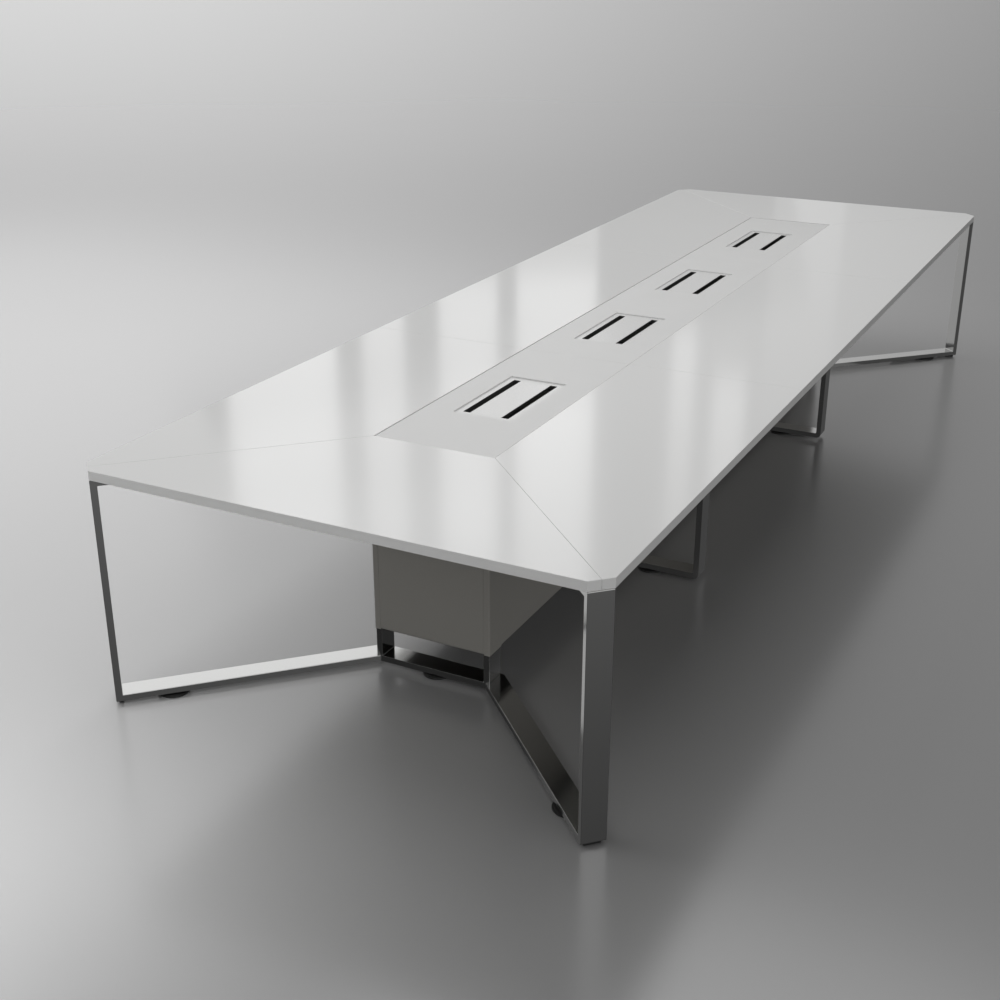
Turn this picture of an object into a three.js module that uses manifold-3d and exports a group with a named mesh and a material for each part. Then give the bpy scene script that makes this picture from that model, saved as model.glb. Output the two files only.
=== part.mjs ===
// A long conference table. Gloss white boards run round a matt white centre strip that holds four
// cable ports. Flat steel tube frames stand under the joints of the top, and a taupe cable spine
// hangs under the strip. Millimetres, +Z up, +X along the table, origin on the floor below its centre.

import * as THREE from 'three';
import { mergeVertices } from 'three/addons/utils/BufferGeometryUtils.js';
import Module from 'manifold-3d';

const wasm = await Module();
wasm.setup();

// Table top
const tableLength = 4800;
const tableWidth = 1600;
const tableHeight = 745;
const boardThickness = 28;
const stripWidth = 400;
const middleLength = 1600;
const boardJoint = 0.4;
const stripGap = 2;
const stripDrop = 1.5;
const cornerMargin = 0.35;

// Cable ports: a rim let into the strip, and a flap between two open slots
const slotLength = 356;
const slotWidth = 25;
const flapWidth = 107;
const rimEnd = 22;
const rimSide = 21.5;
const rimThickness = 3;
const portRecess = 4;
const portFit = 0.4;
const skirtWall = 6;
const skirtDepth = 16;
const flapThickness = 3;
const flapLipDepth = 8;
const freeLipWidth = 3;
const hingeLipWidth = 8;
const flapEndGap = 0.5;
const flapOpenDegrees = 95;
const pinRadius = 2;
const pinLength = 4.5;
const pinInset = 4;
const pinDrop = 5;
const lugLength = 4;
const lugWidth = 3.5;

// Steel tube frames
const tubeWidth = 70;
const tubeThickness = 20;
const legInnerRadius = 2;
const loopInnerRadius = 3;
const outerRadius = 4;
const middleOuterRadius = 18;
const middleFrameWidth = 1000;
const railWidth = 60;
const railWall = 2;

// Levelling feet and fixed glides
const footHeight = 10;
const footRadius = 48;
const footEdge = 1.5;
const footCrown = 3;
const hubRadius = 9;
const stemRadius = 4;
const stemLength = 15;
const glideWidth = 48;
const glideDepth = 14;
const glideInset = 8;
const glideRadius = 2;
const legFootReach = 170;
const middleFootReach = 310;

// Cable spine and trays
const coverSheet = 2;
const coverRadius = 4;
const coverReturn = 20;
const coverBottom = 124;
const coverFlange = 18;
const foldRadius = 8;
const panelJoint = 0.5;
const clipDepth = 30;
const trayLength = 420;
const trayWidth = 180;
const trayDepth = 90;
const traySheet = 1.5;
const trayFlange = 25;

// Clearances between pieces, and the overlap that fuses the parts of one piece
const fitGap = 0.3;
const weld = 1;

// Facets of a quarter arc and of a full turn
const arcSteps = 5;
const pinSides = 12;
const footSides = 24;

// Sizes that follow from those above
const halfLength = tableLength / 2;
const halfWidth = tableWidth / 2;
const halfMiddle = middleLength / 2;
const stripHalf = stripWidth / 2;
const borderWidth = halfWidth - stripHalf;
const stripReach = halfLength - borderWidth;
const cornerCut = (tubeWidth + 2 * cornerMargin) / Math.SQRT2;
const frameTop = tableHeight - boardThickness;
const stripTop = tableHeight - stripDrop;
const portLength = slotLength + 2 * rimEnd;
const portInside = flapWidth + 2 * slotWidth;
const portWidth = portInside + 2 * rimSide;
const rimTop = stripTop - portRecess;
const rimBottom = rimTop - rimThickness;
const skirtBottom = rimBottom - skirtDepth;
const bendInside = coverRadius - coverSheet;
const postInset = coverSheet + bendInside - (bendInside - fitGap) / Math.SQRT2;
const loopHalf = stripHalf - postInset;
const loopCentre = stripReach - postInset;
const loopFront = loopCentre + tubeWidth / 2;
const loopBack = loopCentre - tubeWidth / 2;
const coverFront = loopFront + postInset;
const coverTop = frameTop - tubeThickness - fitGap;
const coverHeight = coverTop - coverBottom;
const seamHalf = stripHalf - coverReturn;
const stemHole = stemRadius + fitGap;
const pinY = pinInset - flapWidth / 2;
const pinZ = rimTop - pinDrop;
const portCentres = [
  -(halfMiddle + stripReach) / 2,
  -halfMiddle / 2,
  halfMiddle / 2,
  (halfMiddle + stripReach) / 2,
];

// Colours and finishes
const glossWhite = { color: 0xe8e8e6, roughness: 0.08, metalness: 0 };
const mattWhite = { color: 0xdcdcda, roughness: 0.5, metalness: 0 };
const portWhite = { color: 0xe2e2e0, roughness: 0.4, metalness: 0 };
const chrome = { color: 0xc4c4c3, roughness: 0.12, metalness: 1 };
const taupe = { color: 0x6b6762, roughness: 0.5, metalness: 0.1 };
const blackPlastic = { color: 0x161616, roughness: 0.5, metalness: 0 };
const railGrey = { color: 0x3c3c3e, roughness: 0.5, metalness: 0.6 };

const table = new THREE.Group();

function addPiece(name, geometry, finish, parent = table) {
  const mesh = new THREE.Mesh(geometry, new THREE.MeshStandardMaterial(finish));
  mesh.name = name;
  parent.add(mesh);
  return mesh;
}

// A group turned about the vertical and set at a place on the floor plan
function place(x, y, angle) {
  const group = new THREE.Group();
  group.position.set(x, y, 0);
  group.rotation.z = angle;
  table.add(group);
  return group;
}

// A piece drawn upright: its outline's first axis is level, its second is up
function addUpright(name, geometry, finish, parent) {
  const mesh = addPiece(name, geometry, finish, parent);
  mesh.rotation.x = Math.PI / 2;
  return mesh;
}

function toSolid(geometry) {
  const bare = geometry.clone();
  bare.deleteAttribute('normal');
  bare.deleteAttribute('uv');
  const merged = mergeVertices(bare);
  const vertProperties = new Float32Array(merged.attributes.position.array);
  const triVerts = new Uint32Array(merged.index.array);
  return new wasm.Manifold(new wasm.Mesh({ numProp: 3, vertProperties, triVerts }));
}

function toGeometry(solid) {
  const mesh = solid.getMesh();
  const geometry = new THREE.BufferGeometry();
  geometry.setAttribute('position', new THREE.BufferAttribute(mesh.vertProperties, 3));
  geometry.setIndex(new THREE.BufferAttribute(mesh.triVerts, 1));
  geometry.computeVertexNormals();
  return geometry;
}

function cut(geometry, cutters) {
  const solid = cutters.reduce((left, cutter) => left.subtract(toSolid(cutter)), toSolid(geometry));
  return toGeometry(solid);
}

function join(geometry, additions) {
  const solid = additions.reduce((whole, addition) => whole.add(toSolid(addition)), toSolid(geometry));
  return toGeometry(solid);
}

// A box between two corners
function block(low, high) {
  const size = high.map((value, axis) => value - low[axis]);
  const centre = high.map((value, axis) => (value + low[axis]) / 2);
  return new THREE.BoxGeometry(...size).translate(...centre);
}

function extrude(points, depth, holes = []) {
  const shape = new THREE.Shape(points);
  shape.holes = holes.map((hole) => new THREE.Path(hole));
  return new THREE.ExtrudeGeometry(shape, { depth, bevelEnabled: false });
}

function point(x, y) {
  return new THREE.Vector2(x, y);
}

// Points along an arc, from one angle in quarter turns to another
function arc(x, y, radius, fromQuarter, toQuarter) {
  return Array.from({ length: arcSteps + 1 }, (_, step) => {
    const quarter = fromQuarter + (toQuarter - fromQuarter) * step / arcSteps;
    const angle = quarter * Math.PI / 2;
    return point(x + radius * Math.cos(angle), y + radius * Math.sin(angle));
  });
}

function roundedRectangle(left, bottom, right, top, radius) {
  return [
    ...arc(right - radius, bottom + radius, radius, -1, 0),
    ...arc(right - radius, top - radius, radius, 0, 1),
    ...arc(left + radius, top - radius, radius, 1, 2),
    ...arc(left + radius, bottom + radius, radius, 2, 3),
  ];
}

function mirrored(points) {
  return points.map(({ x, y }) => point(-x, y));
}

// An outline whose edges each step inwards by their own amount. The points run anticlockwise.
function inset(points, steps) {
  const edges = points.map((start, index) => {
    const end = points[(index + 1) % points.length];
    const along = end.clone().sub(start).normalize();
    const inwards = point(-along.y, along.x);
    return { along, start: start.clone().addScaledVector(inwards, steps[index]) };
  });
  return edges.map((edge, index) => {
    const before = edges[(index + edges.length - 1) % edges.length];
    const across = before.along.cross(edge.along);
    const travel = edge.start.clone().sub(before.start).cross(edge.along) / across;
    return before.start.clone().addScaledVector(before.along, travel);
  });
}

function board(outline, thickness) {
  return extrude(outline, thickness).translate(0, 0, frameTop);
}

// Gloss boards: two mitred ends, and three on each long side
function addBoards() {
  const half = boardJoint / 2;
  const mitreX = halfLength - cornerCut / 2;
  const mitreY = halfWidth - cornerCut / 2;

  const endOutline = inset([
    point(stripReach, -stripHalf),
    point(mitreX, -mitreY),
    point(halfLength, -(halfWidth - cornerCut)),
    point(halfLength, halfWidth - cornerCut),
    point(mitreX, mitreY),
    point(stripReach, stripHalf),
  ], [half, 0, 0, 0, half, 0]);

  const sideOutline = inset([
    point(halfMiddle, stripHalf),
    point(stripReach, stripHalf),
    point(mitreX, mitreY),
    point(halfLength - cornerCut, halfWidth),
    point(halfMiddle, halfWidth),
  ], [0, half, 0, 0, half]);

  const middleOutline = inset([
    point(-halfMiddle, stripHalf),
    point(halfMiddle, stripHalf),
    point(halfMiddle, halfWidth),
    point(-halfMiddle, halfWidth),
  ], [0, half, 0, half]);

  const endBoard = board(endOutline, boardThickness);
  const plainSide = board(sideOutline, boardThickness);
  const mirroredSide = board(mirrored(sideOutline), boardThickness);
  const middleBoard = board(middleOutline, boardThickness);
  const turned = place(0, 0, Math.PI);

  addPiece('end_board_1', endBoard, glossWhite, turned);
  addPiece('end_board_2', endBoard, glossWhite);
  addPiece('side_board_left_1', mirroredSide, glossWhite);
  addPiece('side_board_left_2', middleBoard, glossWhite);
  addPiece('side_board_left_3', plainSide, glossWhite);
  addPiece('side_board_right_1', plainSide, glossWhite, turned);
  addPiece('side_board_right_2', middleBoard, glossWhite, turned);
  addPiece('side_board_right_3', mirroredSide, glossWhite, turned);
}

// Matt strip: three panels, each milled with a pocket and a hole for every port in its length
function addStrip() {
  const edge = stripHalf - stripGap;
  const half = boardJoint / 2;
  const holeLength = slotLength + 2 * (skirtWall + portFit);
  const holeWidth = portInside + 2 * (skirtWall + portFit);
  const spans = [
    [-stripReach + stripGap, -halfMiddle - half],
    [-halfMiddle + half, halfMiddle - half],
    [halfMiddle + half, stripReach - stripGap],
  ];
  spans.forEach(([start, end], index) => {
    const panel = block([start, -edge, frameTop], [end, edge, stripTop]);
    const cutters = portCentres.filter((x) => x > start && x < end).flatMap((x) => [
      new THREE.BoxGeometry(portLength, portWidth, 2 * (stripTop - rimBottom)).translate(x, 0, stripTop),
      new THREE.BoxGeometry(holeLength, holeWidth, 2 * boardThickness).translate(x, 0, frameTop),
    ]);
    addPiece(`strip_panel_${index + 1}`, cut(panel, cutters), mattWhite);
  });
}

// Port rim: a flange in the strip's pocket over a skirt that goes down the hole. Ledges at its ends
// carry the flap's free edge, and lugs stop the flap when it stands open.
function rimGeometry() {
  const flangeX = portLength / 2 - portFit;
  const flangeY = portWidth / 2 - portFit;
  const insideX = slotLength / 2;
  const insideY = portInside / 2;
  const skirtX = insideX + skirtWall;
  const skirtY = insideY + skirtWall;
  const flange = block([-flangeX, -flangeY, rimBottom], [flangeX, flangeY, rimTop]);
  const skirt = block([-skirtX, -skirtY, skirtBottom], [skirtX, skirtY, rimBottom + weld]);
  const opening = block([-insideX, -insideY, skirtBottom - weld], [insideX, insideY, rimTop + weld]);
  const ring = cut(join(flange, [skirt]), [opening]);

  const openAngle = THREE.MathUtils.degToRad(flapOpenDegrees);
  const stopY = -pinInset * Math.cos(openAngle) - pinDrop * Math.sin(openAngle);
  const stopZ = pinDrop * Math.cos(openAngle) - pinInset * Math.sin(openAngle) - fitGap;
  const swing = Math.hypot(pinInset, flapLipDepth - pinDrop);
  const chord = Math.sqrt(Math.max(swing * swing - stopZ * stopZ, 0));
  const lipBottom = rimTop - flapLipDepth;
  const details = [-1, 1].flatMap((end) => {
    const inner = end * (insideX - lugLength);
    const outer = end * (insideX + weld);
    const low = Math.min(inner, outer);
    const high = Math.max(inner, outer);
    const ledge = block(
      [low, flapWidth / 2 - lugWidth, skirtBottom],
      [high, flapWidth / 2, lipBottom - fitGap],
    );
    const lug = block(
      [low, pinY + stopY - lugWidth / 2, skirtBottom],
      [high, pinY - chord - fitGap, pinZ + stopZ],
    );
    return [ledge, lug];
  });

  const holeReach = pinLength + fitGap - flapEndGap;
  const pinHoles = [-1, 1].map((end) => {
    const hole = new THREE.CylinderGeometry(pinRadius + fitGap, pinRadius + fitGap, holeReach + weld, pinSides);
    return hole.rotateZ(Math.PI / 2).translate(end * (insideX + (holeReach - weld) / 2), pinY, pinZ);
  });
  return cut(join(ring, details), pinHoles);
}

// Port flap: a plate with turned-down lips, on a trunnion pin at each end of its hinge lip
function flapGeometry() {
  const edge = flapWidth / 2;
  const length = slotLength - 2 * flapEndGap;
  const under = rimTop - flapThickness;
  const lipBottom = rimTop - flapLipDepth;
  const section = extrude([
    point(-edge, lipBottom),
    point(hingeLipWidth - edge, lipBottom),
    point(hingeLipWidth - edge, under),
    point(edge - freeLipWidth, under),
    point(edge - freeLipWidth, lipBottom),
    point(edge, lipBottom),
    point(edge, rimTop),
    point(-edge, rimTop),
  ], length);
  section.translate(0, 0, -length / 2).rotateX(Math.PI / 2).rotateZ(Math.PI / 2);
  const pins = [-1, 1].map((end) => {
    const pin = new THREE.CylinderGeometry(pinRadius, pinRadius, pinLength + weld, pinSides);
    return pin.rotateZ(Math.PI / 2).translate(end * (length + pinLength - weld) / 2, pinY, pinZ);
  });
  return join(section, pins);
}

function addPorts() {
  const rim = rimGeometry();
  const flap = flapGeometry();
  portCentres.forEach((x, index) => {
    const port = place(x, 0, 0);
    addPiece(`port_rim_${index + 1}`, rim, portWhite, port);
    addPiece(`port_flap_${index + 1}`, flap, portWhite, port);
  });
}

// A hole up into a floor bar for a levelling stem, in the upright outline's own axes
function stemCutter(along) {
  const depth = stemLength + fitGap;
  const hole = new THREE.CylinderGeometry(stemHole, stemHole, depth + weld, footSides);
  return hole.translate(along, footHeight + (depth - weld) / 2, 0);
}

// Corner leg: a post flush with the cut corner, with bars along the floor and under the top that
// follow the mitre. Their inner ends are cut to fit round the end loop. hand is 1 or -1.
function cornerLeg(hand) {
  const reach = (halfWidth - cornerCut / 2) * Math.SQRT2;
  const corner = tubeThickness + legInnerRadius;
  const low = footHeight + tubeThickness;
  const high = frameTop - tubeThickness;
  const outline = [
    ...arc(outerRadius, frameTop - outerRadius, outerRadius, 1, 2),
    ...arc(outerRadius, footHeight + outerRadius, outerRadius, 2, 3),
    point(reach, footHeight),
    point(reach, low),
    ...arc(corner, low + legInnerRadius, legInnerRadius, 3, 2),
    ...arc(corner, high - legInnerRadius, legInnerRadius, 2, 1),
    point(reach, high),
    point(reach, frameTop),
  ];
  const leg = extrude(outline, tubeWidth).translate(0, 0, -tubeWidth / 2);

  // In the plan, a runs in from the end edge and b from the long edge, from the cut corner's middle.
  const loopA = halfLength - cornerCut / 2 - loopFront - fitGap;
  const loopB = halfWidth - cornerCut / 2 - loopHalf - fitGap;
  const backA = loopA + tubeWidth + fitGap;
  function remove(lowA, lowB) {
    const centreA = lowA + reach / 2;
    const centreB = lowB + reach / 2;
    const cutter = new THREE.BoxGeometry(reach, 2 * tableHeight, reach);
    cutter.rotateY(-hand * Math.PI / 4);
    return cutter.translate((centreA + centreB) / Math.SQRT2, 0, hand * (centreA - centreB) / Math.SQRT2);
  }
  return cut(leg, [remove(loopA, loopB), remove(backA, 0), stemCutter(legFootReach)]);
}

// A closed loop of tube across the table, with stem holes in its floor bar
function loop(half, radius, feet) {
  const outer = roundedRectangle(-half, footHeight, half, frameTop, radius);
  const inner = roundedRectangle(
    tubeThickness - half,
    footHeight + tubeThickness,
    half - tubeThickness,
    frameTop - tubeThickness,
    loopInnerRadius,
  );
  const tube = extrude(outer, tubeWidth, [inner]).translate(0, 0, -tubeWidth / 2);
  return cut(tube, feet.map(stemCutter));
}

// Levelling foot: a crowned pad and a stem, turned about the upright axis
function footGeometry() {
  const crownBase = footHeight - fitGap - footCrown;
  return new THREE.LatheGeometry([
    point(0, 0),
    point(footRadius - footEdge, 0),
    point(footRadius, footEdge),
    point(footRadius, crownBase),
    point(hubRadius, footHeight - fitGap),
    point(stemRadius, footHeight - fitGap),
    point(stemRadius, footHeight + stemLength),
    point(0, footHeight + stemLength),
  ], footSides);
}

// Fixed glide under a corner post: a moulded block with chamfered edges, drawn on the floor plan and
// then turned upright
function glideGeometry() {
  const half = glideWidth / 2;
  const outline = roundedRectangle(glideInset, -half, glideInset + glideDepth, half, glideRadius);
  const geometry = new THREE.ExtrudeGeometry(new THREE.Shape(outline), {
    depth: footHeight - 2 * footEdge,
    bevelThickness: footEdge,
    bevelSize: footEdge,
    bevelOffset: -footEdge,
    bevelSegments: 1,
  });
  return geometry.translate(0, 0, footEdge).rotateX(-Math.PI / 2);
}

function addFrames() {
  const foot = footGeometry();
  const glide = glideGeometry();
  const endLoop = loop(loopHalf, outerRadius, [0]);
  const middleReach = middleFrameWidth / 2;
  const middleLoop = loop(middleReach, middleOuterRadius, [-middleFootReach, middleFootReach]);
  const legs = { '1': cornerLeg(1), '-1': cornerLeg(-1) };

  [-1, 1].forEach((end, index) => {
    const number = index + 1;
    const loopPlace = place(end * loopCentre, 0, Math.PI / 2);
    addUpright(`end_loop_${number}`, endLoop, chrome, loopPlace);
    addUpright(`loop_foot_${number}`, foot, blackPlastic, loopPlace);

    const middlePlace = place(end * halfMiddle, 0, Math.PI / 2);
    addUpright(`middle_loop_${number}`, middleLoop, chrome, middlePlace);

    [1, -1].forEach((side) => {
      const hand = side > 0 ? 'left' : 'right';
      const x = end * (halfLength - cornerCut / 2);
      const y = side * (halfWidth - cornerCut / 2);
      const legPlace = place(x, y, Math.atan2(-side, -end));
      addUpright(`corner_leg_${hand}_${number}`, legs[end * side], chrome, legPlace);
      addUpright(`leg_foot_${hand}_${number}`, foot, blackPlastic, legPlace).position.x = legFootReach;
      addUpright(`corner_glide_${hand}_${number}`, glide, blackPlastic, legPlace);

      const middleFoot = addUpright(`middle_foot_${hand}_${number}`, foot, blackPlastic, middlePlace);
      middleFoot.position.x = side * middleFootReach;
    });
  });
}

// The three lengths between the frames: first, middle and last
function frameSpans() {
  const middleFace = halfMiddle - tubeWidth / 2 - fitGap;
  const outerFace = halfMiddle + tubeWidth / 2 + fitGap;
  return [
    [fitGap - loopBack, -outerFace],
    [-middleFace, middleFace],
    [outerFace, loopBack - fitGap],
  ];
}

// A section drawn across the table and run along it from one place to another
function runAlong(name, points, holes, start, end, finish) {
  const geometry = extrude(points, end - start, holes);
  addUpright(name, geometry, finish, place(start, 0, Math.PI / 2));
}

// Rails between the frames, under the joint of the strip and the side boards
function addRails() {
  const low = frameTop - tubeThickness;
  const sides = [1, -1];
  sides.forEach((side) => {
    const hand = side > 0 ? 'left' : 'right';
    const inner = side * stripHalf - railWidth / 2;
    const outer = side * stripHalf + railWidth / 2;
    const section = [point(inner, low), point(outer, low), point(outer, frameTop), point(inner, frameTop)];
    const bore = inset(section, section.map(() => railWall));
    frameSpans().forEach(([start, end], index) => {
      runAlong(`top_rail_${hand}_${index + 1}`, section, [bore], start, end, railGrey);
    });
  });
}

// Sheet of the spine in section, from its top edge down to a flange folded under on a radius. The
// first value is the distance out to the sheet's face, the second is the height.
function foldedSheet(face) {
  const back = face - coverSheet;
  const tip = face - coverFlange;
  const bend = face - foldRadius;
  return [
    point(back, coverTop),
    ...arc(bend, coverBottom + foldRadius, foldRadius - coverSheet, 0, -1),
    point(tip, coverBottom + coverSheet),
    point(tip, coverBottom),
    ...arc(bend, coverBottom + foldRadius, foldRadius, -1, 0),
    point(face, coverTop),
  ];
}

// Side sheet of the spine in section, with a second flange folded inwards at its top
function sideSection(side) {
  const tip = stripHalf - coverFlange;
  const [, ...rest] = foldedSheet(stripHalf);
  const outline = [
    point(tip, coverTop),
    point(tip, coverTop - coverSheet),
    point(stripHalf - coverSheet, coverTop - coverSheet),
    ...rest,
  ];
  return side > 0 ? outline : mirrored(outline);
}

// End side panel of the spine: the folded sheet runs as far as the end loop, and then bends round its
// post to the front seam. hand mirrors it along the table.
function endPanel(hand) {
  const start = halfMiddle + panelJoint / 2;
  const end = loopBack - coverSheet;
  const straight = extrude(sideSection(1), end - start).rotateX(Math.PI / 2).rotateZ(Math.PI / 2);
  straight.translate(hand > 0 ? start : -end, 0, 0);
  const bendX = coverFront - coverRadius;
  const bendY = stripHalf - coverRadius;
  const outline = [
    point(end - weld, stripHalf),
    ...arc(bendX, bendY, coverRadius, 1, 0),
    point(coverFront, seamHalf),
    point(coverFront - coverSheet, seamHalf),
    ...arc(bendX, bendY, bendInside, 0, 1),
    point(end - weld, stripHalf - coverSheet),
  ];
  const corner = extrude(hand > 0 ? outline : mirrored(outline), coverHeight);
  return join(straight, [corner.translate(0, 0, coverBottom)]);
}

// Front panel of the spine: a folded sheet with two legs that clip between the end loop's posts. The
// legs stop below the round inner corners of that loop, and the fold is notched round its posts.
function frontPanel() {
  const edge = seamHalf - panelJoint;
  const legOut = loopHalf - tubeThickness - fitGap;
  const back = coverFront - coverSheet;
  const foldTop = coverBottom + foldRadius + fitGap;
  const sheet = extrude(foldedSheet(coverFront), 2 * edge).rotateX(Math.PI / 2).translate(0, edge, 0);
  const legs = [-legOut, legOut - coverSheet].map((low) => block(
    [back - clipDepth, low, foldTop],
    [back + coverSheet / 2, low + coverSheet, coverTop - loopInnerRadius],
  ));
  const notches = [[-edge - weld, -legOut], [legOut, edge + weld]].map(([low, high]) => block(
    [coverFront - coverFlange - weld, low, coverBottom - weld],
    [loopFront + fitGap, high, foldTop],
  ));
  return join(cut(sheet, notches), legs);
}

function addSpine() {
  const front = frontPanel();
  const plainEnd = endPanel(1);
  const mirroredEnd = endPanel(-1);
  const turned = place(0, 0, Math.PI);
  const middleStart = panelJoint / 2 - halfMiddle;
  addPiece('spine_front_1', front, taupe, turned);
  addPiece('spine_front_2', front, taupe);
  addPiece('spine_side_left_1', mirroredEnd, taupe);
  addPiece('spine_side_left_3', plainEnd, taupe);
  addPiece('spine_side_right_1', plainEnd, taupe, turned);
  addPiece('spine_side_right_3', mirroredEnd, taupe, turned);
  runAlong('spine_side_left_2', sideSection(1), [], middleStart, -middleStart, taupe);
  runAlong('spine_side_right_2', sideSection(-1), [], middleStart, -middleStart, taupe);
}

// Cable tray under each port: a folded trough hung from the strip by its flanges
function addTrays() {
  const inside = trayWidth / 2;
  const outside = inside + traySheet;
  const brim = outside + trayFlange;
  const floor = frameTop - trayDepth;
  const half = [
    point(outside, floor),
    point(outside, frameTop - traySheet),
    point(brim, frameTop - traySheet),
    point(brim, frameTop),
    point(inside, frameTop),
    point(inside, floor + traySheet),
  ];
  const section = [...half, ...mirrored(half).reverse()];
  portCentres.forEach((x, index) => {
    const start = x - trayLength / 2;
    runAlong(`cable_tray_${index + 1}`, section, [], start, start + trayLength, railGrey);
  });
}

addBoards();
addStrip();
addPorts();
addFrames();
addRails();
addSpine();
addTrays();

export default table;
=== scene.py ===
# %% [markdown]
# # A long conference table
# This lesson dresses a packed table in its finishes, lights it and sets up a camera. The table has a
# gloss white top round a matt strip with four cable ports, chromed steel frames and a taupe cable spine.
# The pieces already have their true size and place, so Blender adds what the eye needs: finishes,
# rounded edges, and the small hardware that is seen only from close by.

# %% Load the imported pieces
import math

import bpy
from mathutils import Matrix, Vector


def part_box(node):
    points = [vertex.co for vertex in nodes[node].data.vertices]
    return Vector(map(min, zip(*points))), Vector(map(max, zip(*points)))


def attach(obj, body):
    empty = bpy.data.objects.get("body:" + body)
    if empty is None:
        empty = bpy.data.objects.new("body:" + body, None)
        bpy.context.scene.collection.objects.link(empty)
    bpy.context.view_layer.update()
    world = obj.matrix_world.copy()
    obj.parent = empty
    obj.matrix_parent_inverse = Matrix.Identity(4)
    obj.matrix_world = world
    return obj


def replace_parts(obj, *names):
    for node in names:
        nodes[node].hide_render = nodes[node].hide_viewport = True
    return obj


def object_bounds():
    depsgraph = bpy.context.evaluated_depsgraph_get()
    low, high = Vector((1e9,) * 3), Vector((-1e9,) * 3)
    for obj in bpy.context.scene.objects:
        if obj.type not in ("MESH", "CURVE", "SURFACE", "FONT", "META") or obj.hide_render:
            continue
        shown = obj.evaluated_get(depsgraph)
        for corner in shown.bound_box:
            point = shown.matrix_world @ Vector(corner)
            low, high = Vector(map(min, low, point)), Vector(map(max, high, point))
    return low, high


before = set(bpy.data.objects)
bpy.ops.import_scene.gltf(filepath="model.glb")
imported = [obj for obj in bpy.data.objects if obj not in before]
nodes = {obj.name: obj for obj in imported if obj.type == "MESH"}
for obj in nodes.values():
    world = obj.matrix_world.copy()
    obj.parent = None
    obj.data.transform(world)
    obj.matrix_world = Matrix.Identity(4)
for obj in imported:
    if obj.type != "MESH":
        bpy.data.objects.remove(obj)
cad_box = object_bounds()
MM = 0.001
print("pieces:", len(nodes), "size in metres:", [round(size, 3) for size in cad_box[1] - cad_box[0]])

# %% [markdown]
# ## The camera
# The photograph was taken from above one end. Its viewpoint was solved from the top's corners, so the
# camera is set by its place, its heading and its tilt. It could also be aimed with a Track To
# constraint, but two angles keep the horizon level by themselves.

# %% Camera at the photograph's viewpoint
CAMERA_PLACE = Vector((-5023.2, -1872.1, 2148.2)) * MM
CAMERA_HEADING = math.radians(27.194)
CAMERA_TILT = math.radians(22.871)
SENSOR_WIDTH = 36
FOCAL_PIXELS = 1382.1
IMAGE_PIXELS = 1000
FARTHEST_SEEN = 200

bpy.ops.object.camera_add(
    location=CAMERA_PLACE,
    rotation=(math.pi / 2 - CAMERA_TILT, 0, CAMERA_HEADING - math.pi / 2),
)
camera = bpy.context.object
camera.name = "camera"
camera.data.sensor_width = SENSOR_WIDTH
camera.data.lens = SENSOR_WIDTH * FOCAL_PIXELS / IMAGE_PIXELS
camera.data.clip_end = FARTHEST_SEEN
bpy.context.scene.camera = camera
bpy.context.scene.view_settings.view_transform = "Standard"
print("lens in mm:", round(camera.data.lens, 2))

# %% [markdown]
# ## Helpers for the finishes
# Colours are written as the sRGB hex values that a paint card would give, and shaders work in linear
# light, so one function converts them. A second one adds a shader node with its settings, its values
# and its links, which keeps every finish below short enough to read.

# %% Colour and node helpers
def linear(hex_colour):
    """An sRGB hex colour as the linear RGBA that shaders use."""
    shares = [int(hex_colour[start:start + 2], 16) / 255 for start in (1, 3, 5)]
    return [s / 12.92 if s <= 0.04045 else ((s + 0.055) / 1.055) ** 2.4 for s in shares] + [1.0]


def add_node(tree, kind, settings=None, values=None, links=None):
    """Add a node, set its properties and socket values, and link outputs into its sockets."""
    node = tree.nodes.new(kind)
    for name, value in (settings or {}).items():
        setattr(node, name, value)
    for socket, value in (values or {}).items():
        node.inputs[socket].default_value = value
    for socket, output in (links or {}).items():
        tree.links.new(output, node.inputs[socket])
    return node


def start_finish(name, values):
    """A new material: its shader with the values that are the same all over, and each point's place."""
    material = bpy.data.materials.new(name)
    material.use_nodes = True
    tree = material.node_tree
    shader = tree.nodes["Principled BSDF"]
    for socket, value in values.items():
        shader.inputs[socket].default_value = value
    coordinates = add_node(tree, "ShaderNodeTexCoord")
    return material, tree, shader, coordinates


def per_metre(millimetres):
    """A texture's scale for a pattern that repeats about once in so many millimetres."""
    return 1 / (millimetres * MM)


print("white paper in linear light:", [round(c, 3) for c in linear("#f4f4f2")])

# %% [markdown]
# ## White high-gloss lacquer
# The outer boards are MDF sprayed with white polyester lacquer and polished. Polishing leaves a deep
# gloss, with a faint orange peel that bends long reflections a little. The underside is never polished:
# it carries a plain matt backing, so the shader asks which way a face looks and dulls those that look
# down.

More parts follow.
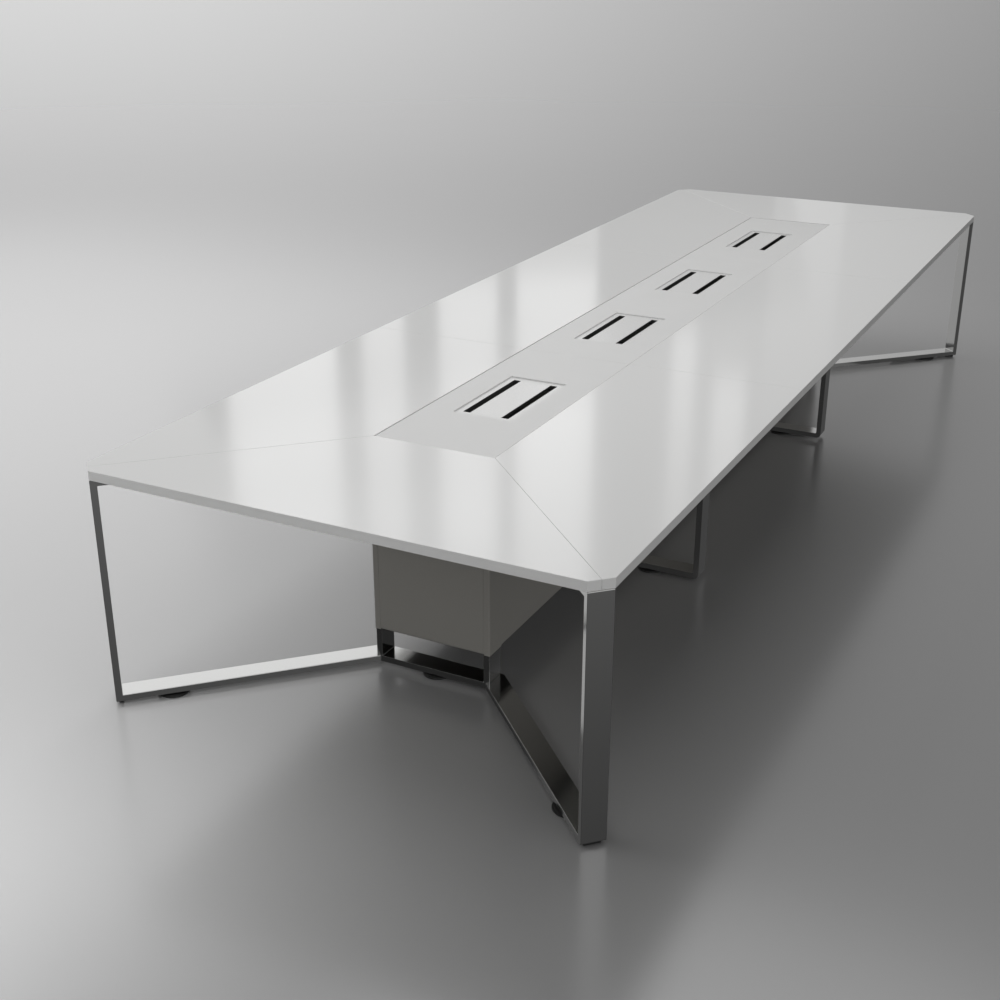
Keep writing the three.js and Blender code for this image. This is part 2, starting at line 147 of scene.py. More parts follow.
# %% Finish for the gloss boards
def make_gloss_lacquer():
    """Polished polyester lacquer: a clean white body under a mirror-like, slightly wavy clear surface."""
    orange_peel, polish_haze = 14, 220
    backing_roughness, downwards = 0.55, -0.5
    material, tree, shader, place = start_finish("white_polyester_lacquer", {"IOR": 1.5})
    axes = add_node(tree, "ShaderNodeSeparateXYZ", links={"Vector": place.outputs["Normal"]})
    looks_down = add_node(
        tree, "ShaderNodeMath", {"operation": "LESS_THAN"}, {1: downwards}, {0: axes.outputs["Z"]}
    )
    haze = add_node(
        tree, "ShaderNodeTexNoise", values={"Scale": per_metre(polish_haze), "Detail": 3},
        links={"Vector": place.outputs["Object"]},
    )
    polish = add_node(
        tree, "ShaderNodeMapRange", values={"To Min": 0.10, "To Max": 0.14},
        links={"Value": haze.outputs["Fac"]},
    )
    roughness = add_node(
        tree, "ShaderNodeMix", {"data_type": "FLOAT"}, {"B": backing_roughness},
        {"Factor": looks_down.outputs[0], "A": polish.outputs[0]},
    )
    body = add_node(
        tree, "ShaderNodeMix", {"data_type": "RGBA"}, {6: linear("#dcdcdb"), 7: linear("#c9c8c4")},
        {"Factor": looks_down.outputs[0]},
    )
    peel = add_node(
        tree, "ShaderNodeTexNoise", values={"Scale": per_metre(orange_peel), "Detail": 1},
        links={"Vector": place.outputs["Object"]},
    )
    waves = add_node(
        tree, "ShaderNodeBump", values={"Strength": 1.0, "Distance": 0.012 * MM},
        links={"Height": peel.outputs["Fac"]},
    )
    tree.links.new(body.outputs[2], shader.inputs["Base Color"])
    tree.links.new(roughness.outputs[0], shader.inputs["Roughness"])
    tree.links.new(waves.outputs[0], shader.inputs["Normal"])
    return material


gloss_lacquer = make_gloss_lacquer()
print("finish:", gloss_lacquer.name)

# %% [markdown]
# ## White matt laminate
# The strip along the middle is faced with a matt high-pressure laminate. Its pearl texture is a field of
# tiny pips that spreads reflections, so the strip keeps one even tone beside the mirror of the lacquer.
# The pips are finer than a pixel and are drawn coarser than life, so that close views still show them.

# %% Finish for the centre strip
def make_matt_laminate():
    """High-pressure laminate with a pearl texture: an even white that reflects no shapes."""
    pearl, tone_patch = 2.2, 160
    material, tree, shader, place = start_finish("white_matt_laminate", {"IOR": 1.5, "Roughness": 0.5})
    patches = add_node(
        tree, "ShaderNodeTexNoise", values={"Scale": per_metre(tone_patch), "Detail": 4},
        links={"Vector": place.outputs["Object"]},
    )
    body = add_node(
        tree, "ShaderNodeMix", {"data_type": "RGBA"}, {6: linear("#d9d9d8"), 7: linear("#dddddc")},
        {"Factor": patches.outputs["Fac"]},
    )
    pips = add_node(
        tree, "ShaderNodeTexVoronoi", {"feature": "SMOOTH_F1"}, {"Scale": per_metre(pearl)},
        {"Vector": place.outputs["Object"]},
    )
    texture = add_node(
        tree, "ShaderNodeBump", values={"Strength": 0.35, "Distance": 0.05 * MM},
        links={"Height": pips.outputs["Distance"]},
    )
    tree.links.new(body.outputs[2], shader.inputs["Base Color"])
    tree.links.new(texture.outputs[0], shader.inputs["Normal"])
    return material


matt_laminate = make_matt_laminate()
print("finish:", matt_laminate.name)

# %% [markdown]
# ## White grained ABS with painted shade below its top
# The ports' rims and flaps are moulded in white ABS. The mould was spark-eroded, which prints a fine
# random grain on the plastic, a soft sheen with no clear reflections. Two objects could carry a white top
# and a dark lower part, but the split follows one level of the piece, so the shader asks each point's
# height and paints all below a thin top layer dark grey. That is painted shade, which keeps the slots
# dark.

# %% Finish for the cable ports
def make_grained_abs():
    """ABS from a spark-eroded mould: a satin white top with a fine grain, and painted shade below it."""
    # skin is the depth in mm of the white top layer; below it the colour is painted shade.
    grain, skin = 1.6, 0.9
    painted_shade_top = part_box("port_rim_1")[1].z - skin * MM
    material, tree, shader, place = start_finish("white_grained_abs", {"IOR": 1.53})
    spots = add_node(
        tree, "ShaderNodeTexNoise", values={"Scale": per_metre(grain), "Detail": 4},
        links={"Vector": place.outputs["Object"]},
    )
    sheen = add_node(
        tree, "ShaderNodeMapRange", values={"To Min": 0.24, "To Max": 0.32},
        links={"Value": spots.outputs["Fac"]},
    )
    texture = add_node(
        tree, "ShaderNodeBump", values={"Strength": 0.3, "Distance": 0.04 * MM},
        links={"Height": spots.outputs["Fac"]},
    )
    white = add_node(
        tree, "ShaderNodeMix", {"data_type": "RGBA"}, {6: linear("#d7d7d6"), 7: linear("#dbdbda")},
        {"Factor": spots.outputs["Fac"]},
    )
    axes = add_node(tree, "ShaderNodeSeparateXYZ", links={"Vector": place.outputs["Object"]})
    above_painted_shade = add_node(
        tree, "ShaderNodeMath", {"operation": "GREATER_THAN"}, {1: painted_shade_top}, {0: axes.outputs["Z"]}
    )
    # Painted shade: below that level the plastic is painted dark grey, so the slots look dark.
    body = add_node(
        tree, "ShaderNodeMix", {"data_type": "RGBA"}, {6: linear("#3c3c3c")},
        {"Factor": above_painted_shade.outputs[0], 7: white.outputs[2]},
    )
    tree.links.new(body.outputs[2], shader.inputs["Base Color"])
    tree.links.new(sheen.outputs[0], shader.inputs["Roughness"])
    tree.links.new(texture.outputs[0], shader.inputs["Normal"])
    return material


grained_abs = make_grained_abs()
print("finish:", grained_abs.name)

# %% [markdown]
# ## Chrome plate
# The flat tubes are steel, ground, polished and plated with chrome. The plate has no colour of its own: it
# shows its surroundings at a little over half their brightness, so a face that looks into a bright part of
# the room is nearly white, and the next one can be nearly black. Handling and polishing leave long soft
# differences in how sharp that reflection is.

# %% Finish for the tube frames
def make_chrome_plate():
    """Chrome plate on polished steel: a neutral, slightly blurred mirror."""
    polish_mark, smudge = 3, 130
    material, tree, shader, place = start_finish("polished_chrome_plate", {"Metallic": 1.0})
    smudges = add_node(
        tree, "ShaderNodeTexNoise", values={"Scale": per_metre(smudge), "Detail": 5},
        links={"Vector": place.outputs["Object"]},
    )
    blur = add_node(
        tree, "ShaderNodeMapRange", values={"To Min": 0.09, "To Max": 0.15},
        links={"Value": smudges.outputs["Fac"]},
    )
    tint = add_node(
        tree, "ShaderNodeMix", {"data_type": "RGBA"}, {6: linear("#c2c2c1"), 7: linear("#c7c7c6")},
        {"Factor": smudges.outputs["Fac"]},
    )
    marks = add_node(
        tree, "ShaderNodeTexNoise", values={"Scale": per_metre(polish_mark), "Detail": 2},
        links={"Vector": place.outputs["Object"]},
    )
    waves = add_node(
        tree, "ShaderNodeBump", values={"Strength": 0.12, "Distance": 0.02 * MM},
        links={"Height": marks.outputs["Fac"]},
    )
    tree.links.new(tint.outputs[2], shader.inputs["Base Color"])
    tree.links.new(blur.outputs[0], shader.inputs["Roughness"])
    tree.links.new(waves.outputs[0], shader.inputs["Normal"])
    return material


chrome_plate = make_chrome_plate()
print("finish:", chrome_plate.name)

# %% [markdown]
# ## Taupe powder coat
# The spine is folded sheet steel with a satin powder coat. The powder melts into a skin that is not quite
# level, so the coat has a fine pebble that softens highlights into a broad sheen.

# %% Finish for the spine
def make_powder_coat(name, dark, light, pebble, roughness):
    """Baked powder coat on sheet steel: an even colour with a pebbled satin skin."""
    material, tree, shader, place = start_finish(name, {"IOR": 1.5, "Roughness": roughness})
    bumps = add_node(
        tree, "ShaderNodeTexNoise", values={"Scale": per_metre(pebble), "Detail": 3},
        links={"Vector": place.outputs["Object"]},
    )
    body = add_node(
        tree, "ShaderNodeMix", {"data_type": "RGBA"}, {6: linear(dark), 7: linear(light)},
        {"Factor": bumps.outputs["Fac"]},
    )
    skin = add_node(
        tree, "ShaderNodeBump", values={"Strength": 0.4, "Distance": 0.08 * MM},
        links={"Height": bumps.outputs["Fac"]},
    )
    tree.links.new(body.outputs[2], shader.inputs["Base Color"])
    tree.links.new(skin.outputs[0], shader.inputs["Normal"])
    return material


taupe_coat = make_powder_coat("taupe_powder_coat", "#8a8883", "#918f8a", pebble=2.4, roughness=0.42)
graphite_coat = make_powder_coat("graphite_powder_coat", "#3b3b3d", "#424244", pebble=2.0, roughness=0.5)
print("finishes:", taupe_coat.name, graphite_coat.name)

# %% [markdown]
# ## Black nylon
# Feet and glides are moulded black nylon. Nylon is a little waxy: a dark body with a broad, weak sheen.

# %% Finish for the feet
def make_black_nylon():
    """Moulded nylon: near black, with a waxy sheen that scuffs unevenly."""
    scuff = 6
    material, tree, shader, place = start_finish("black_moulded_nylon", {"IOR": 1.53})
    scuffs = add_node(
        tree, "ShaderNodeTexNoise", values={"Scale": per_metre(scuff), "Detail": 5},
        links={"Vector": place.outputs["Object"]},
    )
    sheen = add_node(
        tree, "ShaderNodeMapRange", values={"To Min": 0.4, "To Max": 0.62},
        links={"Value": scuffs.outputs["Fac"]},
    )
    body = add_node(
        tree, "ShaderNodeMix", {"data_type": "RGBA"}, {6: linear("#141414"), 7: linear("#1d1d1d")},
        {"Factor": scuffs.outputs["Fac"]},
    )
    tree.links.new(body.outputs[2], shader.inputs["Base Color"])
    tree.links.new(sheen.outputs[0], shader.inputs["Roughness"])
    return material


black_nylon = make_black_nylon()
print("finish:", black_nylon.name)

# %% [markdown]
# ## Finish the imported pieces
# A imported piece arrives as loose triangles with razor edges. Real edges are broken: sanded on boards,
# rolled on tube, deburred on sheet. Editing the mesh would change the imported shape, so live modifiers do
# it: a small node group joins the triangles, Decimate clears the flat faces, Bevel rounds the edges, and
# Weighted Normal keeps the big faces looking flat.

# %% Node group that joins loose triangles
def make_join_group():
    """A geometry node group that merges the corners of loose triangles and shades them smooth."""
    same_place = 0.01 * MM
    group = bpy.data.node_groups.new("join_triangles", "GeometryNodeTree")
    group.interface.new_socket("Geometry", in_out="INPUT", socket_type="NodeSocketGeometry")
    group.interface.new_socket("Geometry", in_out="OUTPUT", socket_type="NodeSocketGeometry")
    source = add_node(group, "NodeGroupInput")
    merged = add_node(
        group, "GeometryNodeMergeByDistance", values={"Distance": same_place}, links={0: source.outputs[0]}
    )
    smooth = add_node(group, "GeometryNodeSetMeshNormal", links={0: merged.outputs[0]})
    add_node(group, "NodeGroupOutput", links={0: smooth.outputs[0]})
    return group


join_triangles = make_join_group()
print("node group:", join_triangles.name)

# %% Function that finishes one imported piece
FLAT_ANGLE, EDGE_ANGLE, EDGE_SEGMENTS = math.radians(1), math.radians(40), 3


def finish_piece(name, material, edge_radius):
    """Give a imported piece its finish, and round its edges without touching its mesh."""
    piece = nodes[name]
    piece.material_slots[0].material = material
    piece.modifiers.new("join_triangles", "NODES").node_group = join_triangles
    flat = piece.modifiers.new("clear_flat_faces", "DECIMATE")
    flat.decimate_type = "DISSOLVE"
    flat.angle_limit = FLAT_ANGLE
    edges = piece.modifiers.new("round_edges", "BEVEL")
    edges.limit_method = "ANGLE"
    edges.angle_limit = EDGE_ANGLE
    edges.width = edge_radius * MM
    edges.segments = EDGE_SEGMENTS
    edges.harden_normals = True
    piece.modifiers.new("flat_shading", "WEIGHTED_NORMAL").keep_sharp = True


print("edges sharper than", round(math.degrees(EDGE_ANGLE)), "degrees are rounded")

# %% Finish and edge radius in millimetres for each kind of piece
FINISHES = {
    "end_board": (gloss_lacquer, 0.9),
    "side_board": (gloss_lacquer, 0.9),
    "strip_panel": (matt_laminate, 0.5),
    "port_rim": (grained_abs, 0.4),
    "port_flap": (grained_abs, 0.4),
    "corner_leg": (chrome_plate, 3.0),
    "end_loop": (chrome_plate, 3.0),
    "middle_loop": (chrome_plate, 3.0),
    "spine": (taupe_coat, 0.5),
    "top_rail": (graphite_coat, 0.6),
    "cable_tray": (graphite_coat, 0.3),
    "leg_foot": (black_nylon, 0.5),
    "loop_foot": (black_nylon, 0.5),
    "middle_foot": (black_nylon, 0.5),
    "corner_glide": (black_nylon, 0.3),
}
for name in nodes:
    start = next(start for start in FINISHES if name.startswith(start))
    finish_piece(name, *FINISHES[start])
print("finished pieces:", len(nodes))

# %% [markdown]
# ## Levelling feet
# Every levelling foot is a moulded nylon disc on a threaded stud: turned by hand, it lifts or lowers its
# bar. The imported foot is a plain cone, so it is replaced. A profile could be spun round, as on a lathe.
# Here a flat circle is extruded and scaled ring by ring, which leaves no seam to close. The thread's
# spiral is too fine to follow by eye, so a ring for every turn of the thread stands for it.

# %% Function that turns a round piece
SMOOTH_ANGLE = math.radians(35)


def turn(name, rings, sides):
    """A round piece on the Z axis, built up ring by ring: each ring is a radius and a height in mm."""
    radius, height = rings[0]
    bpy.ops.object.select_all(action="DESELECT")
    bpy.ops.mesh.primitive_circle_add(vertices=sides, radius=radius * MM, fill_type="NGON")
    piece = bpy.context.object
    piece.name = name
    bpy.ops.object.mode_set(mode="EDIT")
    bpy.ops.transform.translate(value=(0, 0, height * MM))
    for next_radius, next_height in rings[1:]:
        rise = (0, 0, (next_height - height) * MM)
        bpy.ops.mesh.extrude_region_move(TRANSFORM_OT_translate={"value": rise})
        share = next_radius / radius
        bpy.ops.transform.resize(value=(share, share, 1), center_override=(0, 0, 0))
        radius, height = next_radius, next_height
    bpy.ops.mesh.select_all(action="SELECT")
    bpy.ops.mesh.normals_make_consistent(inside=False)
    bpy.ops.object.mode_set(mode="OBJECT")
    bpy.ops.object.shade_smooth_by_angle(angle=SMOOTH_ANGLE)
    return piece


PAD_RINGS = [
    (45.6, 0), (47.2, 0.4), (48, 1.5), (48, 4.2), (47.5, 5.2), (46.2, 5.9), (44.2, 6.1), (43.4, 5.5),
    (42.2, 5.5), (41.4, 6.2), (28, 7.2), (17.5, 7.9), (15.2, 8.3), (13.4, 9.1), (12.4, 9.5), (11.4, 9.7),
    (8.2, 9.7), (7.8, 9.4), (7.8, 8.4),
]
pad = turn("pad", PAD_RINGS, sides=64)
print("pad:", len(pad.data.polygons), "faces")

# %% Threaded stud
COLLAR_RINGS = [(6.2, 8.0), (6.6, 8.3), (6.6, 9.3), (5.8, 9.6)]
THREAD_ROOT, THREAD_CREST, THREAD_PITCH = 3.3, 4.0, 1.25
CREST_START, CREST_END, ROOT_START = 0.5, 0.7, 1.2
STUD_BOTTOM, THREAD_BOTTOM, STUD_TOP, STUD_CHAMFER = 8.0, 9.6, 25.0, 0.5
stud_rings = [(THREAD_ROOT, STUD_BOTTOM), (THREAD_ROOT, THREAD_BOTTOM)]
for turn_number in range(int((STUD_TOP - THREAD_BOTTOM) / THREAD_PITCH)):
    start = THREAD_BOTTOM + turn_number * THREAD_PITCH
    stud_rings.append((THREAD_CREST, start + CREST_START))
    stud_rings.append((THREAD_CREST, start + CREST_END))
    stud_rings.append((THREAD_ROOT, start + ROOT_START))
stud_rings.append((THREAD_ROOT - STUD_CHAMFER, STUD_TOP))
stud = turn("stud", stud_rings, sides=24)
turn("collar", COLLAR_RINGS, sides=6)
stud.select_set(True)
bpy.context.view_layer.objects.active = stud
bpy.ops.object.join()
print("stud:", len(stud.data.polygons), "faces")

# %% [markdown]
# ## Zinc-plated steel
# Studs and screws are turned steel with bright zinc. Zinc is greyer and less sharp than chrome, with a
# slight bluish cast and a mottled sheen from its crystals.

# %% Finish for studs and screws
def make_zinc_plate():
    """Bright zinc on steel: a pale metal with a mottled, softer mirror than chrome."""
    crystal = 1.5
    material, tree, shader, place = start_finish("bright_zinc_plate", {"Metallic": 1.0})
    crystals = add_node(
        tree, "ShaderNodeTexNoise", values={"Scale": per_metre(crystal), "Detail": 3},
        links={"Vector": place.outputs["Object"]},
    )
    sheen = add_node(
        tree, "ShaderNodeMapRange", values={"To Min": 0.26, "To Max": 0.42},
        links={"Value": crystals.outputs["Fac"]},
    )
    tint = add_node(
        tree, "ShaderNodeMix", {"data_type": "RGBA"}, {6: linear("#b2b4b6"), 7: linear("#bfc1c3")},
        {"Factor": crystals.outputs["Fac"]},
    )
    tree.links.new(tint.outputs[2], shader.inputs["Base Color"])
    tree.links.new(sheen.outputs[0], shader.inputs["Roughness"])
    return material


zinc_plate = make_zinc_plate()
pad.data.materials.append(black_nylon)
stud.data.materials.append(zinc_plate)
print("finish:", zinc_plate.name)

# %% Place the feet
pieces = list(nodes.values())


def place_copy(pattern, name, place, body):
    """Copy a pattern with its own mesh, move the copy's mesh to its place, and let it ride on a body."""
    piece = pattern.copy()
    piece.data = pattern.data.copy()
    piece.name = name
    bpy.context.collection.objects.link(piece)
    piece.location = place
    bpy.ops.object.select_all(action="DESELECT")
    piece.select_set(True)
    bpy.context.view_layer.objects.active = piece
    bpy.ops.object.transform_apply(location=True)
    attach(piece, body)
    pieces.append(piece)
    return piece


feet = {}
for name in nodes:
    if "_foot_" in name:
        corner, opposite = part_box(name)
        feet[name] = Vector(((corner.x + opposite.x) / 2, (corner.y + opposite.y) / 2, 0))
for name, place in feet.items():
    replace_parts(place_copy(pad, f"{name}_pad", place, name), name)
    place_copy(stud, f"{name}_stud", place, name)
for pattern in (pad, stud):
    bpy.data.objects.remove(pattern)
print("feet:", len(feet))

# %% [markdown]
# ## Screws
# Button-head screws hold the frames, the rails and the trays up against the boards. They are seen only
# from below. The head is turned like the feet, and a Boolean modifier cuts its hexagon socket, which is
# quicker than bridging a round edge to a hexagon by hand. One screw is copied to every place.

# %% Button-head screw
HEAD_RINGS = [(5.2, 0), (5.25, -0.5), (4.9, -1.4), (4.2, -2.3), (3.3, -2.9), (2.9, -3.0)]
SOCKET_RADIUS, SOCKET_TOP, SOCKET_DEPTH = 2.3, -1.2, 4.0
screw = turn("screw", HEAD_RINGS, sides=24)
screw.data.materials.append(zinc_plate)
bpy.ops.mesh.primitive_cylinder_add(
    vertices=6, radius=SOCKET_RADIUS * MM, depth=SOCKET_DEPTH * MM,
    location=(0, 0, (SOCKET_TOP - SOCKET_DEPTH / 2) * MM),
)
hexagon = bpy.context.object
socket = screw.modifiers.new("socket", "BOOLEAN")
socket.operation = "DIFFERENCE"
socket.object = hexagon
bpy.context.view_layer.objects.active = screw
bpy.ops.object.modifier_apply(modifier="socket")
bpy.data.objects.remove(hexagon)
print("screw:", len(screw.data.polygons), "faces")

# %% Where the screws go
def sign(value):
    """1 on the positive side of the table's middle, and -1 on the other."""
    return math.copysign(1, value)


frame_places, rail_places, tray_places = [], [], []
FRAME_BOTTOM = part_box("top_rail_left_1")[0].z
LEG_STEPS, MIDDLE_STEPS = (60, 280), (-120, 40)
for name, place in feet.items():
    if name.startswith("leg_foot"):
        inwards = Vector((-sign(place.x), -sign(place.y), 0))
        frame_places += [place + inwards * step * MM for step in LEG_STEPS]
    if name.startswith("middle_foot"):
        inwards = Vector((0, -sign(place.y), 0))
        frame_places += [place + inwards * step * MM for step in MIDDLE_STEPS]
for place in frame_places:
    place.z = FRAME_BOTTOM

RAIL_SCREW_EDGE, RAIL_SCREW_END = 14, 110
TRAY_SCREW_EDGE, TRAY_SCREW_END, TRAY_SHEET = 12.5, 45, 1.5
for name in nodes:
    corner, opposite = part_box(name)
    if name.startswith("top_rail"):
        first, last = corner.x + RAIL_SCREW_END * MM, opposite.x - RAIL_SCREW_END * MM
        outer = max(corner.y, opposite.y, key=abs)
        y = outer - sign(outer) * RAIL_SCREW_EDGE * MM
        rail_places += [Vector((x, y, corner.z)) for x in (first, (first + last) / 2, last)]
    if name.startswith("cable_tray"):
        for x in (corner.x + TRAY_SCREW_END * MM, opposite.x - TRAY_SCREW_END * MM):
            for y in (corner.y + TRAY_SCREW_EDGE * MM, opposite.y - TRAY_SCREW_EDGE * MM):
                tray_places.append(Vector((x, y, opposite.z - TRAY_SHEET * MM)))
print("screws:", len(frame_places), len(rail_places), len(tray_places))

# %% Place the screws
def place_screws(name, places):
    """Copy the screw to each place and join the copies into one piece."""
    bpy.ops.object.select_all(action="DESELECT")
    for place in places:
        copy = screw.copy()
        copy.data = screw.data.copy()
        bpy.context.collection.objects.link(copy)
        copy.location = place
        copy.select_set(True)
        bpy.context.view_layer.objects.active = copy
    bpy.ops.object.join()
    piece = bpy.context.object
    piece.name = name
    bpy.ops.object.transform_apply(location=True)
    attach(piece, "table")
    pieces.append(piece)


place_screws("frame_screws", frame_places)
place_screws("rail_screws", rail_places)
place_screws("tray_screws", tray_places)
bpy.data.objects.remove(screw)
print("pieces in all:", len(pieces))

# %% [markdown]
# ## Floor
# The table stands on a plain pale floor with satin paint. Its gloss is strong but blurred, so the floor
# darkens softly below the table. Bumps could show the roller's texture too, but the floor isn't part of
# the object, so a faint change of tone is enough.

# %% Floor
def make_floor_paint():
    """Satin floor paint: pale grey, with a blurred reflection of what stands on it."""
    tone_patch = 2400
    material, tree, shader, place = start_finish("pale_floor_paint", {"IOR": 2.2, "Roughness": 0.22})
    tone = add_node(
        tree, "ShaderNodeTexNoise", values={"Scale": per_metre(tone_patch), "Detail": 2},
        links={"Vector": place.outputs["Object"]},
    )
    body = add_node(
        tree, "ShaderNodeMix", {"data_type": "RGBA"}, {6: linear("#8c8c8c"), 7: linear("#8f8f8f")},
        {"Factor": tone.outputs["Fac"]},
    )
    tree.links.new(body.outputs[2], shader.inputs["Base Color"])
    return material


FLOOR_SIZE = 160
bpy.ops.mesh.primitive_plane_add(size=FLOOR_SIZE)
floor = bpy.context.object
floor.name = "floor"
floor.data.materials.append(make_floor_paint())
floor.visible_glossy = False
print("floor:", FLOOR_SIZE, "metres across")

# %% [markdown]
# ## What the chrome sees below
# Polished tube mirrors what lies below it, and on a very glossy floor that is the table itself, upside
# down. A mirror for a floor would show it, but then the floor would no longer be plain. So reflections
# look past the floor, at dark screens in the places where the mirror images of the top and of the spine
# would be, and at a third one for the floor on the right, which lies away from the windows. Each screen
# glows with one even tone, painted shade as the mirror would show it, and only a reflection sees them.

# %% Dark screens below the floor, painted shade for reflections
def show_in_reflections(thing, material_name, tone):
    """Make a thing glow with one even tone and hide it from everything but reflections."""
    look = {"Base Color": linear("#161616"), "Roughness": 1.0, "Emission Strength": tone}
    thing.data.materials.append(start_finish(material_name, look)[0])
    thing.visible_camera = False
    thing.visible_diffuse = False
    thing.visible_shadow = False


def add_screen(name, corner, opposite, tone):
    """A dark glowing box, painted shade, at the mirror image in the floor of the box between two corners.
    """
    middle = (corner + opposite) / 2
    bpy.ops.mesh.primitive_cube_add(size=1, location=(middle.x, middle.y, -middle.z))
    screen = bpy.context.object
    screen.name = name
    screen.scale = opposite - corner
    show_in_reflections(screen, f"{name}_painted_shade_mirror", tone)


RIGHT_CORNER, RIGHT_OPPOSITE = Vector((-1.9, -8, 0.01)), Vector((6, -0.5, 0.02))
low, high = cad_box
board_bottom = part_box("end_board_1")[0].z
# Each tone is painted shade: how bright the shaded underside, spine and right floor look when mirrored.
add_screen("top_screen", Vector((low.x, low.y, board_bottom)), high, tone=0.10)
add_screen("spine_screen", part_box("spine_front_1")[0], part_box("spine_front_2")[1], tone=0.03)
add_screen("right_screen", RIGHT_CORNER, RIGHT_OPPOSITE, tone=0.075)
print("screens for the top, the spine and the right side, from", round(-high.z, 3), "metres up")

# %% [markdown]
# ## Surroundings
# The room is a plain grey that is dark below the horizon. Two soft bright parts make the chrome look
# like chrome: one on the left, as from a row of windows, and a weaker one behind the camera. A panorama
# of a real room would do as well, but it would put the shapes of its furniture on every tube.

# %% Surroundings
SOFT_HORIZON = 0.04


def make_surroundings(below, above, glows):
    """A plain grey room, dark below the horizon, with soft bright parts at a heading and a height."""
    world = bpy.data.worlds.new("studio")
    bpy.context.scene.world = world
    world.use_nodes = True
    tree = world.node_tree
    direction = add_node(tree, "ShaderNodeTexCoord")
    axes = add_node(tree, "ShaderNodeSeparateXYZ", links={"Vector": direction.outputs["Generated"]})
    tone = add_node(
        tree, "ShaderNodeMapRange",
        values={"From Min": -SOFT_HORIZON, "From Max": SOFT_HORIZON, "To Min": below, "To Max": above},
        links={"Value": axes.outputs["Z"]},
    )
    for heading, height, added, sharpness in glows:
        flat = math.cos(math.radians(height))
        middle = (
            flat * math.cos(math.radians(heading)), flat * math.sin(math.radians(heading)),
            math.sin(math.radians(height)),
        )
        along = add_node(
            tree, "ShaderNodeVectorMath", {"operation": "DOT_PRODUCT"}, {1: middle},
            {0: direction.outputs["Generated"]},
        )
        share = add_node(
            tree, "ShaderNodeMapRange", values={"From Min": -1, "From Max": 1},
            links={"Value": along.outputs["Value"]},
        )
        falloff = add_node(
            tree, "ShaderNodeMath", {"operation": "POWER"}, {1: sharpness}, {0: share.outputs[0]}
        )
        tone = add_node(
            tree, "ShaderNodeMath", {"operation": "MULTIPLY_ADD"}, {1: added},
            {0: falloff.outputs[0], 2: tone.outputs[0]},
        )
    tree.links.new(tone.outputs[0], tree.nodes["Background"].inputs["Color"])


# Each glow has a heading and a height in degrees, the light that it adds, and its sharpness.
LEFT_GLOW = (47, 0, 1.1, 9)
FRONT_GLOW = (240, 20, 0.58, 10)
make_surroundings(below=0.03, above=0.2, glows=[LEFT_GLOW, FRONT_GLOW])
print("world:", bpy.context.scene.world.name)

# %% [markdown]
# ## Soft lamps
# The overhead panel gives the top its even white. The left and the front one model the spine and the
# edges of the boards, the high one lies in the upper faces of the bars, and two washes brighten the floor
# on the left. A photographer keeps light off a piece with black flags. Here each lamp can have a list of
# the pieces that it lights, which does the same without a thing that the chrome would mirror.

# %% Lamp helpers
def add_panel(name, place, target, width, height, glow, spread=180):
    """A flat light that faces a target; a glow of 1 looks as bright as white paper."""
    facing = (Vector(target) - Vector(place)).to_track_quat("-Z", "Y").to_euler()
    bpy.ops.object.light_add(type="AREA", location=place, rotation=facing)
    lamp = bpy.context.object
    lamp.name = name
    lamp.data.shape = "RECTANGLE"
    lamp.data.size = width
    lamp.data.size_y = height
    lamp.data.energy = math.pi * width * height * glow
    lamp.data.spread = math.radians(spread)
    lamp.visible_camera = False
    return lamp


def light_only(lamp, receivers):
    """Let a lamp light these pieces alone."""
    lamp.light_linking.receiver_collection = bpy.data.collections.new(lamp.name)
    for piece in receivers:
        lamp.light_linking.receiver_collection.objects.link(piece)


plated = [nodes[name] for name in nodes if name.startswith("corner_leg") or "_loop_" in name]
unplated = [piece for piece in pieces if piece not in plated]
print("plated:", len(plated), "other pieces:", len(unplated))

# %% Soft lamps
add_panel("overhead", (0, 0, 4.5), (0, 0, 0), width=6.0, height=4.0, glow=0.95)
add_panel("high_left", (6.6, 7.6, 7.2), (-2.2, 0.6, 0), width=6.6, height=3.0, glow=0.42)
left = add_panel("left", (-4.0, 3.8, 1.9), (-1.8, 0.8, 0), width=5.0, height=3.0, glow=0.68)
light_only(left, unplated + [floor])
front = add_panel("front", (-7.0, -3.4, 2.6), (-2.4, -0.6, 0.6), width=6.0, height=4.0, glow=0.84)
light_only(front, pieces)
side_wash = add_panel(
    "side_wash", (-2.5, 3.7, 2.6), (-2.5, 3.7, 0), width=10.0, height=6.0, glow=1.36, spread=125
)
end_wash = add_panel(
    "end_wash", (-3.7, 0.9, 1.0), (-3.7, 0.9, 0), width=1.6, height=1.6, glow=1.6, spread=100
)
for wash in (side_wash, end_wash):
    light_only(wash, [floor])
    wash.visible_glossy = False

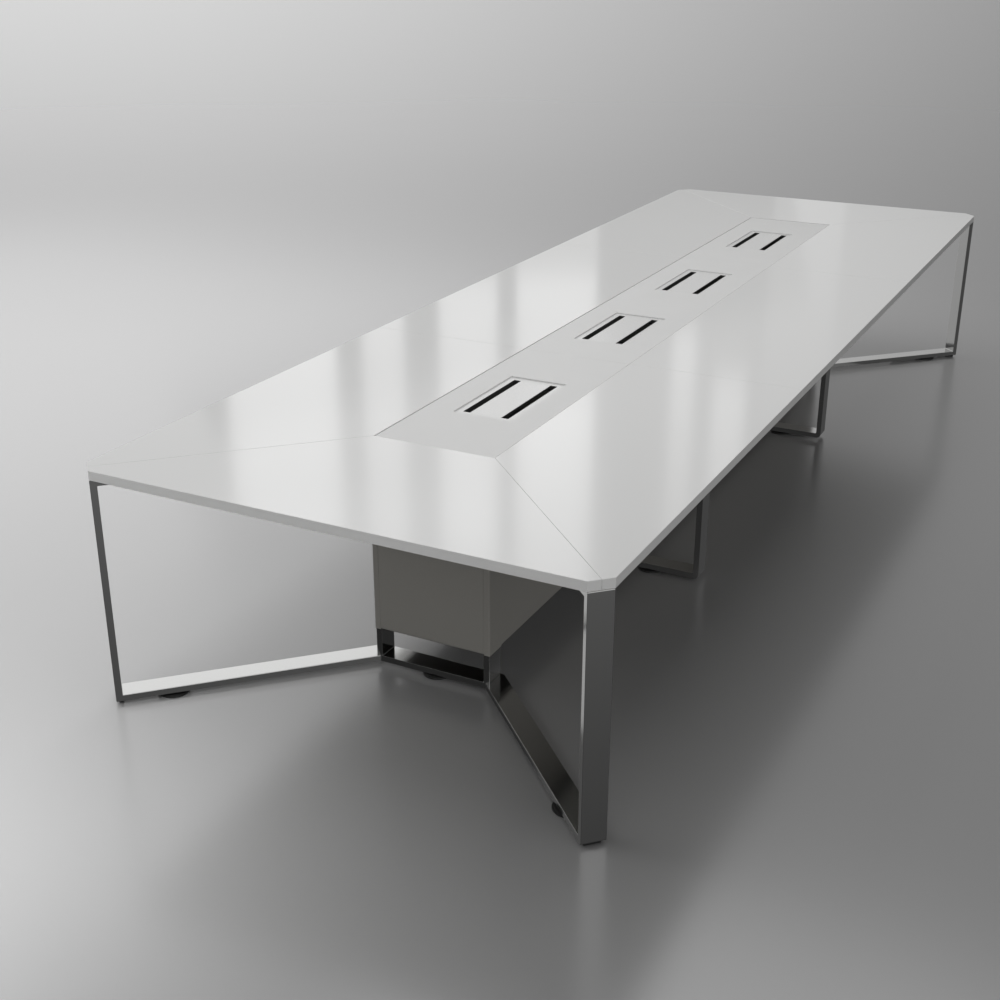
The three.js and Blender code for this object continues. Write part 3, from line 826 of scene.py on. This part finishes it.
# %% [markdown]
# ## Bands of light in the gloss
# Tall light panels stand behind the far end and lie in the gloss of the top as soft upright bands. Each
# is set by the two headings between which the camera sees it, and by its lowest and highest point, so a
# band falls where it should without any trial. One wide panel with a striped picture on it could do the
# same, but separate panels can be dimmed one by one.
#
# A grey card stands behind the panels. Without it the gloss between the bands mirrors the bright windows
# and the bands look weak. It leans a little, because the gloss on the far side of the top mirrors a
# lower part of the room than the gloss nearby.

# %% Panels behind the far end
BAND_DISTANCE = 11.0
# Each band has its first and last heading in degrees, its lowest and highest point, and its glow.
BANDS = [
    (38.9, 34.2, 1.8, 6.2, 1.20),
    (33.1, 31.3, 1.8, 6.2, 0.90),
    (29.8, 27.3, 2.0, 3.1, 0.93),
    (29.8, 27.3, 3.1, 6.2, 1.15),
    (26.5, 23.1, 1.5, 2.0, 0.33),
    (26.5, 23.1, 2.0, 3.1, 0.93),
    (26.5, 23.1, 3.1, 6.2, 1.40),
    (19.8, 18.8, 2.4, 6.2, 0.70),
    (18.0, 16.6, 2.8, 6.2, 0.80),
    (16.0, 13.2, 1.0, 3.2, 0.13),
]
for number, (first, last, bottom, top, glow) in enumerate(BANDS, 1):
    heading = math.radians((first + last) / 2)
    width = BAND_DISTANCE * math.radians(first - last)
    place = CAMERA_PLACE + BAND_DISTANCE * Vector((math.cos(heading), math.sin(heading), 0))
    place.z = (bottom + top) / 2
    facing = Vector((CAMERA_PLACE.x, CAMERA_PLACE.y, place.z))
    band = add_panel(f"band_{number}", place, facing, width, top - bottom, glow)
    light_only(band, unplated)
print("bands:", len(BANDS))

# %% Grey card behind the panels
CARD_DISTANCE, CARD_MIDDLE, CARD_HEIGHT = 13.0, 2.62, 1.7
CARD_FIRST, CARD_LAST, CARD_LEAN, CARD_TONE = 41.0, 14.5, 13.7, 0.5
heading = math.radians((CARD_FIRST + CARD_LAST) / 2)
width = CARD_DISTANCE * math.radians(CARD_FIRST - CARD_LAST)
place = CAMERA_PLACE + CARD_DISTANCE * Vector((math.cos(heading), math.sin(heading), 0))
place.z = CARD_MIDDLE
facing = (math.pi / 2, math.radians(CARD_LEAN), heading - math.pi / 2)
bpy.ops.mesh.primitive_plane_add(size=1, location=place, rotation=facing)
card = bpy.context.object
card.name = "grey_card"
card.scale = (width, CARD_HEIGHT, 1)
show_in_reflections(card, "grey_card_paper", CARD_TONE)
print("grey card:", round(width, 2), "by", CARD_HEIGHT, "metres")
